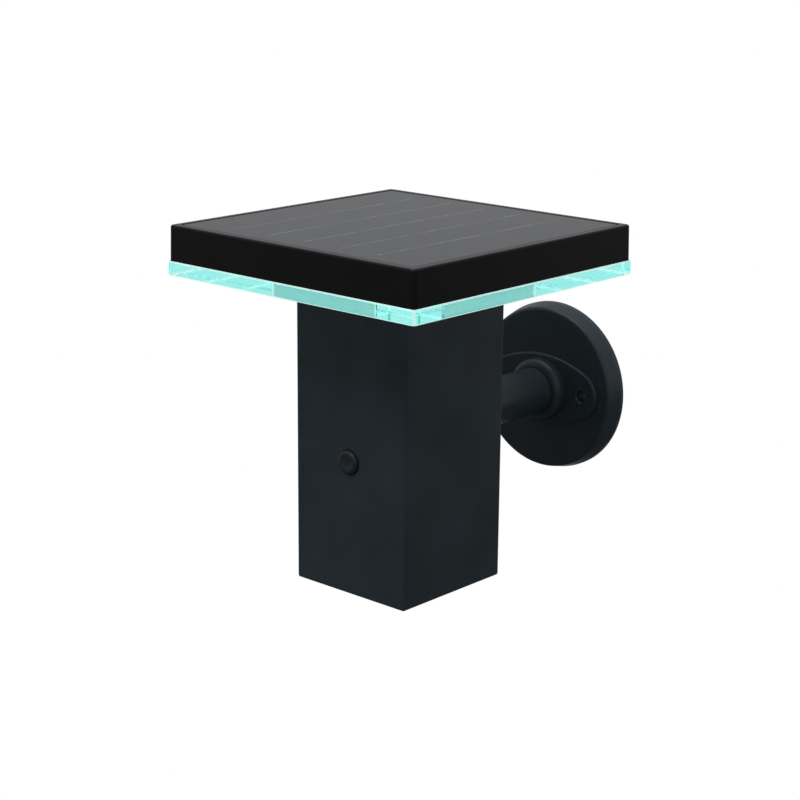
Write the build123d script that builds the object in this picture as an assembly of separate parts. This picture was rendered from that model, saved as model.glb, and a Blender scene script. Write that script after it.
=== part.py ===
from build123d import *
import math
import os

# Fence light on a round wall bracket: a closed square post carries a clear glass light plate and
# a flat solar head. Sizes are millimetres. The origin is the centre of the wall plate's back
# face, +Y points into the wall, +Z up, +X to the right of someone who faces the wall.

# ---------------------------------------------------------------- driving sizes
# post
post_w = 60.0          # across the flats
post_h = 128.6         # closed foot to open rim
post_wall = 2.5
post_edge_r = 1.0      # upright outer edges
post_foot_r = 0.95      # round edge under the foot
bore_edge_r = 1.5      # upright edges of the bore
post_reach = 105.0     # wall plane to post axis
post_above = 64.6      # post rim above the bracket's axis
pillar_w = 10.3        # screw pillars in the corners of the bore
pillar_h = 22.0
pillar_round = 2.5
screw_inset = 6.0      # head screws, from the walls of the bore
seat_drop = 1.0        # pillar tops below the rim

# glass light plate
glass_overhang = 0.45  # glass past the head, each side
glass_t = 6.0
glass_corner_r = 1.2
glass_arris = 0.5
cutout_margin = 0.5    # cut-out wider than the bore, each side
cutout_r = 3.0
gasket_t = 0.5         # between post rim and glass
gasket_inset = 0.3

# solar head
head_w = 132.0
head_h = 14.6
head_draft = 1.4       # degrees, each side
head_edge_r = 2.0
head_top_r = 0.9
head_floor = 3.0
rim_w = 3.0            # bezel round the panel
panel_gap = 0.5        # open groove round the panel
panel_sink = 0.1       # panel below the bezel
panel_t = 2.4
panel_edge_r = 1.5
bead_t = 0.6           # adhesive under the panel
ledge_w = 2.0
rib_t = 1.6
rib_inset = 1.0        # ribs, inside the post's outline
pad_margin = 11.0      # white pad over the glass, inside the head's outline
pad_t = 1.0
pad_gap = 0.2
lead_hole_x = 30.0     # opening in the head's floor
lead_hole_y = 16.0
lead_gap_end = 6.2     # rib left at each end of its break beside the circuit board

# light ring in the glass cut-out
opal_gap = 0.3
opal_t = 1.8
opal_fit = 0.2         # light carrier inside the opal ring
carrier_wall = 6.5
carrier_fit = 0.2      # carrier flange in the bore
strip_room = 2.2       # depth of the strip recesses
strip_t = 1.0
strip_short = 0.4      # strips lower than the glass is thick
strip_play = 0.5
chip_w = 3.5
chip_h = 2.8
chip_t = 0.8
chip_count = 3
chip_pitch = 11.0
feed_w = 5.0           # feed-through for the strip leads
feed_h = 2.0
feed_y = 6.0

# circuit board in the head
board_margin = 1.9     # between the board's long edges and rib or wall
board_end_margin = 3.2
board_t = 1.6
board_boss_h = 1.6
board_boss_r = 2.5
board_inset = 3.0      # its screws, from its edges
controller_w = 5.0
controller_l = 6.0
controller_t = 1.6
choke_r = 3.8
choke_h = 3.2
capacitor_r = 2.0
capacitor_h = 3.2
part_pitch = 12.0      # parts along the board
socket_w = 6.0
socket_d = 5.0
socket_h = 3.6
socket_pitch = 9.0
socket_count = 4
socket_wall = 0.6

# battery cradle and cell
cell_d = 18.4
cell_l = 65.0
nub_d = 6.0
nub_h = 1.0
cell_gap = 0.2
cradle_t = 2.2
cradle_mouth = 14.0    # open side of the cradle
cradle_flange_t = 3.0
cradle_end_t = 2.5
flange_gap = 0.7       # flange beside the pillars
flange_short = 3.0     # flange ends before the bore's walls
wire_clear = 1.65      # wires beside the trough
slot_half = 3.25       # half the width of the flange's wire slots
contact_t = 0.5
contact_w = 12.0
wire_notch = 2.0       # where the wires leave the contacts
wires_apart = 1.6      # centres of two wires side by side
leaf_l = 5.0           # height of the leaf spring under the cell
leaf_w = 7.0
leaf_t = 0.4

# button and switch
button_d = 10.0
button_out = 1.8       # stands out of the post
button_edge_r = 1.4
button_dish = 0.4
button_drop = 7.4      # below the bracket's axis
button_gap = 0.3       # round the button in its hole
button_travel = 1.0
button_flange_t = 1.0
button_lip = 1.5       # flange wider than the button, each side
seal_t = 1.0
chamber_gap = 0.4
guide_wall = 1.4
guide_floor = 1.2
dome_room = 2.2        # height of the return dome
dome_skin = 0.5
dome_foot = 1.2
stem_d = 4.0           # push rod behind the button
stem_gap = 0.3
rod_end = 0.7          # push rod past the guide's floor
contact_play = 0.05    # left between rod and switch at full travel
switch_w = 6.0
switch_t = 3.5
actuator_d = 3.4
actuator_l = 0.75
switch_board_w = 15.0
switch_board_h = 13.0
switch_board_t = 1.2
sleeve_t = 1.3
sleeve_gap = 0.2
sleeve_lip = 0.3
guide_boss_gap = 1.4   # between chamber and screw bosses
guide_boss_r = 2.8
guide_boss_h = 4.0
ear_t = 2.0

# wall bracket
plate_d = 75.6
plate_t = 9.5
shoulder_w = 1.6       # sloped side round the flat front face
shoulder_r = 1.5       # round edge between the two
plate_rim_t = 2.6      # straight edge at the wall
plate_back_edge = 0.4
boss_w = 32.0          # oval raised pad
boss_l = 61.0
boss_end_r = 11.0      # its ends
boss_t = 1.8
boss_edge_r = 1.0
collar_wall = 3.8      # collar round the stem
collar_t = 5.4
collar_edge_r = 3.2
socket_deep = 3.0      # stem socket in the collar
socket_fit = 0.05
wall_hole_d = 5.0
wall_hole_pitch = 45.0
wall_hole_edge = 0.5
bar_d = 20.4           # bracket stem
bar_edge = 0.5
tap_l = 22.0           # tapped depth in each end of the stem
stem_seal_t = 1.0
plate_screw_sink = 0.5
backing_w = 36.0
backing_t = 2.5
washer_t = 1.6
washer_d = 16.0

# fasteners
m3_d = 3.0
m3_head_d = 5.6
m3_head_h = 2.2
head_screw_l = 25.0
cradle_screw_l = 8.0
m2_d = 2.0
m2_head_d = 3.8
m2_head_h = 1.4
board_screw_l = 3.4
guide_screw_l = 5.5
m8_d = 8.0
m8_head_d = 14.0
m8_head_h = 4.4
m8_key = 5.0           # across the flats of the hexagon socket
m8_bite = 18.0         # thread held in the stem
free_fit = 0.2         # round a screw in a plain hole
thread_fit = 0.05      # round a screw in its tapped or pilot hole
lead_d = 1.2
lead_sides = 6         # flats round a wire
lead_clear = 6.0       # straight runs of the wires where they start and end
lead_rise = 2.0        # wires over the head's floor

# ---------------------------------------------------------------- derived places
# Everything on the post is drawn about the post's axis and moved by on_post() at the end.
bore_w = post_w - 2 * post_wall
post_z1 = post_above
post_z0 = post_z1 - post_h
seat_z = post_z1 - seat_drop
glass_z0 = post_z1 + gasket_t
glass_z1 = glass_z0 + glass_t
head_z0 = glass_z1
head_z1 = head_z0 + head_h
screw_d = bore_w / 2 - screw_inset

glass_w = head_w + 2 * glass_overhang
head_top_w = head_w - 2 * head_h * math.tan(math.radians(head_draft))
recess_w = head_top_w - 2 * rim_w
panel_w = recess_w - 2 * panel_gap
cavity_w = recess_w - 2 * ledge_w
panel_z1 = head_z1 - panel_sink
panel_z0 = panel_z1 - panel_t
ledge_z = panel_z0 - bead_t
floor_z = head_z0 + head_floor
rib_x = post_w / 2 - rib_inset
pad_w = head_w - 2 * pad_margin
pad_hole_w = post_w

cutout_w = bore_w + 2 * cutout_margin
opal_w = cutout_w - 2 * opal_gap
opal_hole_w = opal_w - 2 * opal_t
carrier_w = opal_hole_w - 2 * opal_fit
strip_face = carrier_w / 2 - strip_room
carrier_hole_w = 2 * (strip_face - carrier_wall)
strip_room_l = 2 * (screw_d - m3_d / 2 - free_fit - strip_play)
strip_l = strip_room_l - 2 * strip_play
strip_h = glass_t - strip_short
cradle_screw_y = strip_face - carrier_wall / 2

lead_gap_y = 2 * (rib_x - rib_t / 2 - lead_gap_end)
board_w = cavity_w / 2 - rib_x - rib_t / 2 - 2 * board_margin
board_l = 2 * (rib_x - rib_t / 2 - board_end_margin)
board_x = -(cavity_w / 2 + rib_x + rib_t / 2) / 2
board_z0 = floor_z + board_boss_h
board_z1 = board_z0 + board_t
socket_x = board_x + board_w / 2 - socket_d / 2

cradle_r = cell_d / 2 + cell_gap + cradle_t
cradle_z1 = seat_z - cradle_flange_t
cell_z1 = cradle_z1 - contact_t
cell_z0 = cell_z1 - cell_l
leaf_z0 = cell_z0 - leaf_l
cradle_floor_z = leaf_z0 - contact_t
cradle_z0 = cradle_floor_z - cradle_end_t
pillar_x = bore_w / 2 - pillar_w
flange_x = pillar_x - flange_gap
flange_y = bore_w / 2 - flange_short
slot_x = cradle_r + wire_clear

# depths along Y of the button's parts, from the front wall inwards
wall_y0 = -post_w / 2
wall_y1 = wall_y0 + post_wall
flange_y0 = wall_y1 + seal_t
flange_y1 = flange_y0 + button_flange_t
guide_y0 = flange_y1 + dome_room
guide_y1 = guide_y0 + guide_floor
rod_y1 = guide_y1 + rod_end
actuator_y = rod_y1 + button_travel + contact_play
switch_y0 = actuator_y + actuator_l
switch_y1 = switch_y0 + switch_t
switch_board_y1 = switch_y1 + switch_board_t
ear_y0 = wall_y1 + guide_boss_h
button_r = button_d / 2
button_flange_r = button_r + button_lip
chamber_r = button_flange_r + chamber_gap
guide_screw_x = chamber_r + guide_wall + guide_boss_gap + guide_boss_r
button_z = -button_drop

# depths along Y of the bracket, from the wall plane outwards
post_back_y = -post_reach + post_w / 2
bar_y0 = post_back_y + stem_seal_t
boss_y = -plate_t - boss_t
collar_y = boss_y - collar_t
bar_y1 = collar_y + socket_deep


# ---------------------------------------------------------------- small shapes
def square(width, z0, z1, edge_r=0.0):
    """Upright square prism on the axis."""
    outline = RectangleRounded(width, width, edge_r) if edge_r > 0 else Rectangle(width, width)
    return extrude(Pos(0, 0, z0) * outline, z1 - z0)


def slab(x0, x1, y0, y1, z0, z1):
    """Block between two corners."""
    return Pos((x0 + x1) / 2, (y0 + y1) / 2, (z0 + z1) / 2) * Box(x1 - x0, y1 - y0, z1 - z0)


def upright(x, y, z0, z1, r):
    """Round bar along Z."""
    return Pos(x, y, (z0 + z1) / 2) * Cylinder(r, z1 - z0)


def level(x, z, y0, y1, r):
    """Round bar along Y."""
    return Pos(x, (y0 + y1) / 2, z) * Rot(90, 0, 0) * Cylinder(r, y1 - y0)


def corners(x, y=None):
    """Four places, mirrored about both axes."""
    y = x if y is None else y
    return [(sx * x, sy * y) for sx in (-1, 1) for sy in (-1, 1)]


def quarters(shape):
    """A shape and its copies turned onto the other three sides."""
    return [Rot(0, 0, 90 * k) * shape for k in range(4)]


def on_post(shape):
    """From the post's axis to its place in front of the wall."""
    return Pos(0, -post_reach, 0) * shape


def group(shapes):
    """Separate solids kept in one node."""
    return Compound([solid for shape in shapes for solid in shape.solids()])


def pan_screw(d, length, head_d, head_h):
    """Pan-head screw, seat at the origin, point down."""
    head = Pos(0, 0, head_h / 2) * Cylinder(head_d / 2, head_h)
    return head + Pos(0, 0, -length / 2) * Cylinder(d / 2, length)


def lead(name, points):
    """Insulated wire: straight runs joined by the largest arcs that they leave room for."""
    stops = [Vector(*point) for point in points]
    radii = []
    for before, corner, after in zip(stops, stops[1:], stops[2:]):
        run_in, run_out = corner - before, after - corner
        half_turn = math.radians(run_in.get_angle(run_out)) / 2
        radii.append(0.45 * min(run_in.length, run_out.length) / math.tan(half_turn))
    path = FilletPolyline(*stops, radius=radii)
    section = Plane(origin=path @ 0, z_dir=path % 0) * RegularPolygon(lead_d / 2, lead_sides)
    wire = sweep(section, path=path)
    share = wire.volume / (path.length * section.area)
    print(f"{name}: length {path.length:.1f}, least radius {min(radii):.1f}, volume share {share:.4f}")
    return wire


# ---------------------------------------------------------------- post
def post_housing():
    """Cast square post: closed foot, corner pillars, button hole and bracket hole."""
    body = square(post_w, post_z0, post_z1, post_edge_r)
    body = fillet(body.faces().sort_by(Axis.Z)[0].edges(), post_foot_r)
    body -= square(bore_w, post_z0 + post_wall, post_z1, bore_edge_r)
    middle = bore_w / 2 - pillar_w / 2 + post_wall / 4
    size = pillar_w + post_wall / 2
    for x, y in corners(middle):
        outline = Pos(x, y, seat_z) * RectangleRounded(size, size, pillar_round)
        body += extrude(outline, -pillar_h)
    pilot_l = head_screw_l
    for x, y in corners(screw_d):
        body -= upright(x, y, floor_z - pilot_l, seat_z, m3_d / 2 + thread_fit)
    for side in (-1, 1):
        body += level(side * guide_screw_x, button_z, wall_y1 - post_wall / 2, ear_y0, guide_boss_r)
        body -= level(side * guide_screw_x, button_z, wall_y1, ear_y0, m2_d / 2 + thread_fit)
    body -= level(0, button_z, wall_y0, wall_y1, button_r + button_gap)
    body -= level(0, 0, bore_w / 2, post_w / 2, m8_d / 2 + free_fit)
    return body


def post_gasket():
    """Thin seal between the rim and the glass."""
    outside = post_w - 2 * gasket_inset
    ring = square(outside, post_z1, glass_z0, post_edge_r)
    return ring - square(bore_w, post_z1, glass_z0, bore_edge_r)


# ---------------------------------------------------------------- glass and light ring
def glass_plate():
    """Square light plate with ground edges and a square cut-out."""
    plate = square(glass_w, glass_z0, glass_z1, glass_corner_r)
    flats = plate.faces().group_by(Axis.Z)
    plate = chamfer(flats[0].edges() + flats[-1].edges(), glass_arris)
    return plate - square(cutout_w, glass_z0, glass_z1, cutout_r)


def opal_ring():
    """Milky light spreader that lines the cut-out."""
    ring = square(opal_w, glass_z0, glass_z1, cutout_r - opal_gap)
    return ring - square(opal_hole_w, glass_z0, glass_z1, 1.0)


def led_carrier():
    """White block on the pillars: holds the strips, spaces the head from the post."""
    body = square(carrier_w, seat_z, glass_z1, 1.0)
    body += square(bore_w - 2 * carrier_fit, seat_z, glass_z0, bore_edge_r)
    room = slab(strip_face, carrier_w / 2, -strip_room_l / 2, strip_room_l / 2, glass_z0, glass_z1)
    body -= quarters(room)
    body -= square(carrier_hole_w, seat_z, glass_z1, cutout_r)
    for x, y in corners(screw_d):
        body -= upright(x, y, seat_z, glass_z1, m3_d / 2 + free_fit)
    for side in (-1, 1):
        top = seat_z + cradle_screw_l - cradle_flange_t + free_fit
        body -= upright(0, side * cradle_screw_y, seat_z, top, m3_d / 2 + thread_fit)
    middle = (glass_z0 + glass_z1) / 2
    body -= slab(-strip_face, -carrier_hole_w / 2, feed_y - feed_w / 2, feed_y + feed_w / 2,
                 middle - feed_h / 2, middle + feed_h / 2)
    return body


def led_strips():
    """Four printed strips that face outwards."""
    strip = slab(strip_face, strip_face + strip_t, -strip_l / 2, strip_l / 2,
                 glass_z0, glass_z0 + strip_h)
    return group(quarters(strip))


def led_chips():
    """Lamps on the strips."""
    x = strip_face + strip_t
    z = glass_z0 + strip_h / 2
    row = []
    for k in range(chip_count):
        y = (k - (chip_count - 1) / 2) * chip_pitch
        chip = slab(x, x + chip_t, y - chip_w / 2, y + chip_w / 2, z - chip_h / 2, z + chip_h / 2)
        row += quarters(chip)
    return group(row)


# ---------------------------------------------------------------- solar head
def head_frame():
    """Moulded tray with drafted sides: panel ledge, ribs, board bosses and screw holes."""
    outline = Pos(0, 0, head_z0) * RectangleRounded(head_w, head_w, head_edge_r)
    body = extrude(outline, head_h, taper=head_draft)
    body = fillet(body.faces().sort_by(Axis.Z)[-1].edges(), head_top_r)
    body -= square(recess_w, ledge_z, head_z1, panel_edge_r + panel_gap)
    body -= square(cavity_w, floor_z, ledge_z, panel_edge_r)
    reach = cavity_w / 2
    for side in (-1, 1):
        x0, x1 = side * rib_x - rib_t / 2, side * rib_x + rib_t / 2
        body += slab(x0, x1, -reach, reach, floor_z, ledge_z)
        body += slab(-reach, reach, x0, x1, floor_z, ledge_z)
    body -= lead_gap(floor_z, ledge_z)
    pocket = square(pad_w + 2 * pad_gap, head_z0, head_z0 + pad_t)
    body -= pocket - square(pad_hole_w - 2 * pad_gap, head_z0, head_z0 + pad_t)
    body -= slab(-lead_hole_x / 2, lead_hole_x / 2, -lead_hole_y / 2, lead_hole_y / 2,
                 head_z0, floor_z)
    for x, y in corners(screw_d):
        body -= upright(x, y, head_z0, floor_z, m3_d / 2 + free_fit)
    for x, y in board_screw_places():
        body += upright(x, y, floor_z, board_z0, board_boss_r)
        body -= upright(x, y, board_z1 - board_screw_l, board_z0, m2_d / 2 + thread_fit)
    return body


def lead_gap(z0, z1):
    """The break in the rib beside the circuit board, where the leads pass."""
    return slab(-rib_x - rib_t / 2, -rib_x + rib_t / 2, -lead_gap_y / 2, lead_gap_y / 2, z0, z1)


def panel_bead():
    """Adhesive on the ledge and on the ribs."""
    ring = square(panel_w, ledge_z, panel_z0, panel_edge_r)
    ring -= square(cavity_w, ledge_z, panel_z0, panel_edge_r)
    reach = cavity_w / 2
    for side in (-1, 1):
        x0, x1 = side * rib_x - rib_t / 2, side * rib_x + rib_t / 2
        ring += slab(x0, x1, -reach, reach, ledge_z, panel_z0)
        ring += slab(-reach, reach, x0, x1, ledge_z, panel_z0)
    return ring - lead_gap(ledge_z, panel_z0)


def solar_panel():
    """Laminated cells in one sheet."""
    sheet = square(panel_w, panel_z0, panel_z1, panel_edge_r)
    return chamfer(sheet.faces().sort_by(Axis.Z)[-1].edges(), 0.2)


def glass_pad():
    """White foam pad between the glass and the head."""
    return square(pad_w, head_z0, head_z0 + pad_t) - square(pad_hole_w, head_z0, head_z0 + pad_t)


def head_screws():
    """Four screws from the tray's floor into the post's pillars."""
    screw = pan_screw(m3_d, head_screw_l, m3_head_d, m3_head_h)
    return group(Pos(x, y, floor_z) * screw for x, y in corners(screw_d))


# ---------------------------------------------------------------- circuit board
def board_screw_places():
    """The board's four screws."""
    places = corners(board_w / 2 - board_inset, board_l / 2 - board_inset)
    return [(board_x + x, y) for x, y in places]


def socket_places():
    """Centres of the lead sockets along the board's inner edge."""
    middle = (socket_count - 1) / 2
    return [(k - middle) * socket_pitch for k in range(socket_count)]


def main_board():
    """Charge controller board."""
    board = slab(board_x - board_w / 2, board_x + board_w / 2, -board_l / 2, board_l / 2,
                 board_z0, board_z1)
    for x, y in board_screw_places():
        board -= upright(x, y, board_z0, board_z1, m2_d / 2 + free_fit)
    return board


def board_chips():
    """Parts soldered on the board: two controllers, a coil and two capacitors."""
    left = board_x - board_w / 6
    wide, long = controller_w / 2, controller_l / 2
    chips = [slab(left - wide, left + wide, y - long, y + long, board_z1, board_z1 + controller_t)
             for y in (-part_pitch, 0)]
    chips.append(upright(left, part_pitch, board_z1, board_z1 + choke_h, choke_r))
    far = part_pitch + choke_r + 1.25 * capacitor_r
    chips += [upright(left + side * 1.1 * capacitor_r, far, board_z1, board_z1 + capacitor_h,
                      capacitor_r) for side in (-1, 1)]
    return group(chips)


def board_sockets():
    """Lead sockets, mouths towards the middle of the head."""
    sockets = []
    for y in socket_places():
        x0, x1 = socket_x - socket_d / 2, socket_x + socket_d / 2
        body = slab(x0, x1, y - socket_w / 2, y + socket_w / 2, board_z1, board_z1 + socket_h)
        mouth = slab(x1 - socket_d / 2, x1, y - socket_w / 2 + socket_wall,
                     y + socket_w / 2 - socket_wall, board_z1 + socket_wall,
                     board_z1 + socket_h - socket_wall)
        sockets.append(body - mouth)
    return group(sockets)


def board_screws():
    """Four small screws into the bosses."""
    screw = pan_screw(m2_d, board_screw_l, m2_head_d, m2_head_h)
    return group(Pos(x, y, board_z1) * screw for x, y in board_screw_places())


# ---------------------------------------------------------------- battery
def battery_cradle():
    """Snap-in trough under a flange, hung from the light carrier."""
    flange = slab(-flange_x, flange_x, -flange_y, flange_y, cradle_z1, seat_z)
    for side in (-1, 1):
        inner, outer = side * (slot_x - slot_half), side * flange_x
        flange -= slab(min(inner, outer), max(inner, outer), -carrier_hole_w / 2,
                       carrier_hole_w / 2, cradle_z1, seat_z)
        flange -= upright(0, side * cradle_screw_y, cradle_z1, seat_z, m3_d / 2 + free_fit)
    trough = upright(0, 0, cradle_z0, cradle_z1, cradle_r)
    trough -= upright(0, 0, cradle_floor_z, cradle_z1, cell_d / 2 + cell_gap)
    trough -= slab(-cradle_mouth / 2, cradle_mouth / 2, 0, cradle_r, cradle_floor_z, cradle_z1)
    x1 = -contact_w / 2 + wire_notch
    y1 = wire_notch / 2
    trough -= slab(x1 - wire_notch, x1, -y1, y1, cradle_z0, cradle_floor_z)
    trough -= slab(-cradle_r, x1, wires_apart / 2 - y1, wires_apart / 2 + y1,
                   cradle_z1 - wire_notch, cradle_z1)
    return flange + trough


def battery_cell():
    """Rechargeable cell, nub up."""
    can = upright(0, 0, cell_z0, cell_z1 - nub_h, cell_d / 2)
    can = chamfer(can.edges().filter_by(GeomType.CIRCLE), nub_h * 0.6)
    return can + upright(0, 0, cell_z1 - nub_h, cell_z1, nub_d / 2)


def cell_contacts():
    """Flat contact plates at both ends of the trough."""
    half = contact_w / 2
    top = slab(-half, half, -half, half, cell_z1, cradle_z1)
    low = slab(-half, half, -half, half, cradle_floor_z, leaf_z0)
    return group([top, low])


def cell_spring():
    """Folded leaf that presses the cell up."""
    reach = contact_w / 2 - leaf_t
    low, high = leaf_z0 + leaf_t / 2, cell_z0 - leaf_t / 2
    fold = Polyline((-reach, low), (reach, low), (-reach, high), (reach, high))
    strip = make_face(offset(fold, leaf_t / 2, kind=Kind.INTERSECTION, side=Side.BOTH))
    return extrude(Plane.XZ * strip, leaf_w / 2, both=True)


def cradle_screws():
    """Two screws up into the light carrier."""
    screw = Rot(180, 0, 0) * pan_screw(m3_d, cradle_screw_l, m3_head_d, m3_head_h)
    return group(Pos(0, side * cradle_screw_y, cradle_z1) * screw for side in (-1, 1))


# ---------------------------------------------------------------- button and switch
def button_cap():
    """Push button with a rolled edge, a dished face, a retaining flange and a push rod."""
    front = wall_y0 - button_out
    head = level(0, button_z, front, flange_y0, button_r)
    head = fillet(head.edges().group_by(Axis.Y)[0], button_edge_r)
    dish_r = (button_r - button_edge_r - 0.4) ** 2 / (2 * button_dish) + button_dish / 2
    head -= Pos(0, front + button_dish - dish_r, button_z) * Sphere(dish_r)
    flange = level(0, button_z, flange_y0, flange_y1, button_flange_r)
    rod = level(0, button_z, flange_y1, rod_y1, stem_d / 2)
    return head + flange + rod


def button_seal():
    """Flat silicone ring behind the wall."""
    ring = level(0, button_z, wall_y1, flange_y0, button_flange_r)
    return ring - level(0, button_z, wall_y1, flange_y0, button_r + button_gap)


def button_guide():
    """Moulded guide: round chamber, rod hole, two ears and a sleeve for the switch board."""
    body = level(0, button_z, wall_y1, guide_y1, chamber_r + guide_wall)
    ear_x = guide_screw_x + guide_boss_r
    body += slab(-ear_x, ear_x, ear_y0, ear_y0 + ear_t, button_z - guide_boss_r,
                 button_z + guide_boss_r)
    out_x = switch_board_w / 2 + sleeve_gap + sleeve_t
    out_z = switch_board_h / 2 + sleeve_gap + sleeve_t
    sleeve_y1 = switch_board_y1 + sleeve_lip
    body += slab(-out_x, out_x, guide_y0, sleeve_y1, button_z - out_z, button_z + out_z)
    in_x, in_z = out_x - sleeve_t, out_z - sleeve_t
    body -= slab(-in_x, in_x, guide_y1, sleeve_y1, button_z - in_z, button_z + in_z)
    body -= slab(-switch_w / 2, switch_w / 2, switch_y1, sleeve_y1, button_z, button_z + out_z)
    for x, z in corners(in_x - sleeve_t / 2, in_z - sleeve_t / 2):
        body += slab(x - sleeve_t / 2, x + sleeve_t / 2, guide_y1, switch_y1,
                     button_z + z - sleeve_t / 2, button_z + z + sleeve_t / 2)
    body -= level(0, button_z, wall_y1, guide_y0, chamber_r)
    body -= level(0, button_z, guide_y0, guide_y1, stem_d / 2 + stem_gap)
    for side in (-1, 1):
        body -= level(side * guide_screw_x, button_z, ear_y0, ear_y0 + ear_t, m2_d / 2 + free_fit)
    return body


def button_spring():
    """Silicone dome round the push rod: its thin skirt buckles and pushes the button out."""
    crown_r = stem_d / 2 + stem_gap + 2 * dome_skin
    foot_r = chamber_r - stem_gap
    skin = Polygon((crown_r - dome_foot, 0), (crown_r, 0), (foot_r, dome_room - dome_skin),
                   (foot_r, dome_room), (foot_r - dome_foot, dome_room), align=None)
    return Pos(0, flange_y1, button_z) * revolve(Plane.XY * skin, axis=Axis.Y)


def push_switch():
    """Sealed switch with a short round actuator."""
    half = switch_w / 2
    body = slab(-half, half, switch_y0, switch_y1, button_z - half, button_z + half)
    return body + level(0, button_z, actuator_y, switch_y0, actuator_d / 2)


def switch_board():
    """Small board in the guide's sleeve."""
    half_w, half_h = switch_board_w / 2, switch_board_h / 2
    return slab(-half_w, half_w, switch_y1, switch_board_y1, button_z - half_h, button_z + half_h)


def guide_screws():
    """Two screws into the bosses of the front wall."""
    screw = Rot(-90, 0, 0) * pan_screw(m2_d, guide_screw_l, m2_head_d, m2_head_h)
    return group(Pos(side * guide_screw_x, ear_y0 + ear_t, button_z) * screw for side in (-1, 1))


# ---------------------------------------------------------------- leads
def wire_pair(name, route, direction):
    """Two wires side by side: the same route, moved half their distance each way."""
    wires = []
    for side in (-1, 1):
        shift = [side * d * wires_apart / 2 for d in direction]
        wires.append(lead(name, [[p + s for p, s in zip(point, shift)] for point in route]))
    return group(wires)


def plug_end(socket):
    """Where a lead enters a socket, and a place short of it."""
    x = socket_x + socket_d / 2
    y = socket_places()[socket]
    z = board_z1 + socket_h / 2
    return [(x + lead_clear, y, z), (x, y, z)]


def battery_leads():
    """One from each contact, up the left side of the cradle, to the board."""
    beside = wires_apart / 2
    start_x = -contact_w / 2 + wire_notch / 2
    low_z = cradle_z0 - lead_clear
    top_z = cradle_z1 - lead_d / 2 - 0.1
    end = [((lead_clear - lead_hole_x) / 2, 0, floor_z + lead_rise)] + plug_end(2)
    low = [(start_x, 0, cradle_floor_z), (start_x, 0, low_z), (-slot_x, 0, low_z),
           (-slot_x, -beside, cradle_z0 + 2 * lead_clear)]
    low += [(x, y - beside, z) for x, y, z in [(-slot_x, 0, glass_z0)] + end]
    top = [(-contact_w / 2, beside, top_z), (-slot_x, beside, top_z)]
    top += [(x, y + beside, z) for x, y, z in [(-slot_x, 0, glass_z0 + seat_drop)] + end]
    return group([lead("battery lead", low), lead("battery lead", top)])


def switch_leads():
    """From the switch board, up the right side of the cradle, to the board."""
    y = switch_board_y1 + lead_d / 2
    high = cradle_z1 - 2 * lead_clear
    route = [(0, y, button_z), (0, y, button_z + switch_board_h), (slot_x, y, high),
             (slot_x, -lead_hole_y / 4, glass_z0)]
    route.append((lead_hole_x / 4, -lead_hole_y / 4, floor_z + lead_rise))
    route += plug_end(1)
    return wire_pair("switch lead", route, (1, 0, 0))


def led_leads():
    """From the left strip through the carrier, up to the board."""
    z = (glass_z0 + glass_z1) / 2
    route = [(-strip_face, feed_y, z), (-carrier_hole_w / 2 + lead_clear, feed_y, z),
             (-lead_hole_x / 3, feed_y, floor_z + lead_rise)]
    route += plug_end(3)
    return wire_pair("strip lead", route, (0, 1, 0))


def panel_leads():
    """From the pads under the panel to the board."""
    y = socket_places()[0]
    x = -rib_x + 2 * lead_clear
    low = (floor_z + panel_z0) / 2
    route = [(x, y, panel_z0), (x, y, low)]
    route += plug_end(0)
    return wire_pair("panel lead", route, (0, 1, 0))


# ---------------------------------------------------------------- wall bracket
def wall_plate():
    """Cast round plate: sloped side, oval boss with two screw holes, collar for the stem."""
    half, face = plate_d / 2, plate_d / 2 - shoulder_w
    with BuildPart() as plate:
        with BuildSketch(Plane.XY):
            with BuildLine():
                Polyline((face, -plate_t), (0, -plate_t), (0, 0), (half, 0), (half, -plate_rim_t))
                Line((half, -plate_rim_t), (face, -plate_t))
            make_face()
        revolve(axis=Axis.Y)
    body = plate.part
    body = fillet(body.faces().sort_by(Axis.Y)[0].edges(), shoulder_r)
    body = chamfer(body.faces().sort_by(Axis.Y)[-1].edges(), plate_back_edge)
    boss = extrude(Plane.XZ.offset(plate_t) * boss_outline(), boss_t)
    boss = fillet(boss.faces().sort_by(Axis.Y)[0].edges(), boss_edge_r)
    collar = level(0, 0, collar_y, boss_y, bar_d / 2 + collar_wall)
    collar = fillet(collar.faces().sort_by(Axis.Y)[0].edges(), collar_edge_r)
    body += [boss, collar]
    body -= level(0, 0, collar_y, bar_y1, bar_d / 2 + socket_fit)
    body -= level(0, 0, bar_y1, 0, m8_d / 2 + free_fit)
    sink_d = 2 * countersunk_r() + 2 * free_fit
    body -= Pos(0, -plate_screw_sink / 2, 0) * Rot(90, 0, 0) * Cylinder(sink_d / 2, plate_screw_sink)
    body -= countersunk_cone(free_fit)
    for side in (-1, 1):
        x = side * wall_hole_pitch / 2
        body -= level(x, 0, boss_y, 0, wall_hole_d / 2)
        mouth = Cone(wall_hole_d / 2 + wall_hole_edge, wall_hole_d / 2, wall_hole_edge)
        body -= Pos(x, boss_y + wall_hole_edge / 2, 0) * Rot(-90, 0, 0) * mouth
    return body


def boss_outline():
    """Oval of four arcs: round ends, long sides tangent to them."""
    end_x, top = boss_l / 2 - boss_end_r, boss_w / 2
    side_r = (end_x ** 2 + top ** 2 - boss_end_r ** 2) / (2 * (top - boss_end_r))
    share = boss_end_r / (side_r - boss_end_r)
    meet_x, meet_y = end_x * (1 + share), (side_r - top) * share
    with BuildSketch() as oval:
        with BuildLine():
            for side in (-1, 1):
                ThreePointArc((-side * meet_x, side * meet_y), (0, side * top),
                              (side * meet_x, side * meet_y))
                ThreePointArc((side * meet_x, meet_y), (side * (end_x + boss_end_r), 0),
                              (side * meet_x, -meet_y))
        make_face()
    return oval.sketch


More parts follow.
